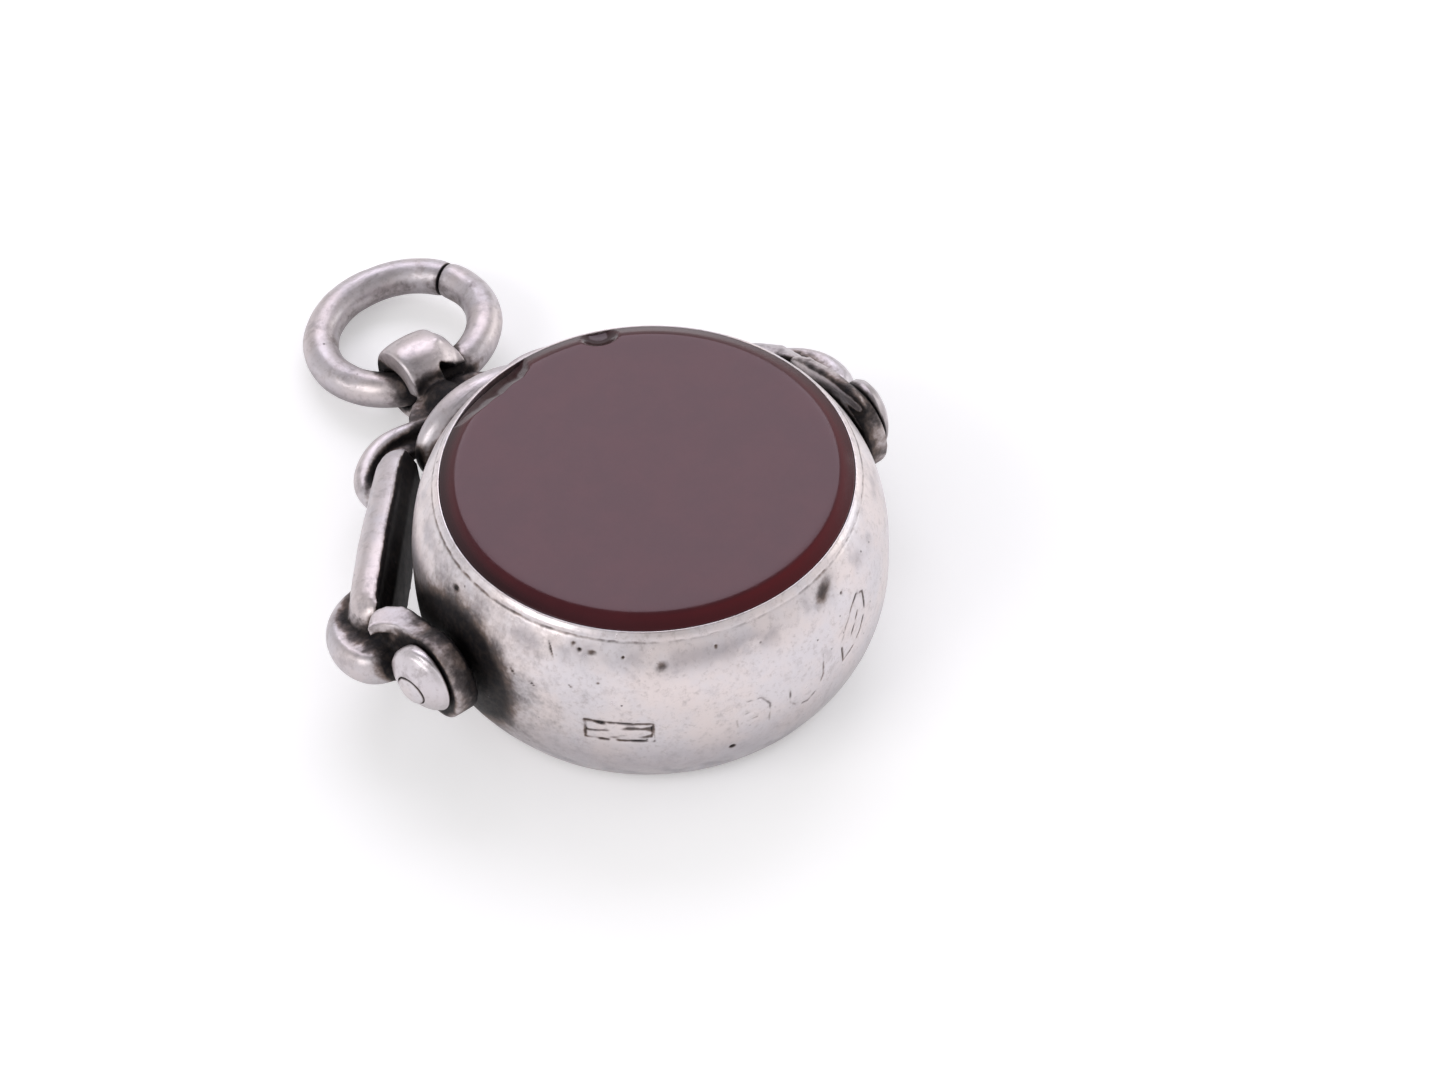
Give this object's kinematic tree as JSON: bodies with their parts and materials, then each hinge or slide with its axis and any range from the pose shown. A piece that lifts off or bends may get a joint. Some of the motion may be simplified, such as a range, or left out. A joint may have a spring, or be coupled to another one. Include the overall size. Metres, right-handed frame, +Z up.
{
  "type": "swivel pendant",
  "caption": "Round drum pendant with a flat stone in each face, turning on rivets in a scrolled frame that hangs from a jump ring.",
  "frame": {"origin": "centre of the lower stone's flat face, on the table", "axes": "+X along the swivel axis to the right ear, +Y towards the jump ring, +Z up through the drum's two faces"},
  "size_m": [0.0266, 0.034, 0.0095],
  "materials": {
    "silver": "old polished silver, finely scratched, with dark tarnish in the recesses",
    "stone": "polished dark red chalcedony"
  },
  "bodies": {
    "drum": {"drum_case": "silver", "upper_stone": "stone", "lower_stone": "stone", "left_button": "silver", "right_button": "silver"},
    "frame": {"swivel_frame": "silver", "jump_ring": "silver"}
  },
  "joints": [
    {"name": "frame_swivel", "type": "hinge", "parent": "drum", "child": "frame", "pos_m": [0, 0, 0.00473], "axis": [1, 0, 0], "continuous": true}
  ]
}
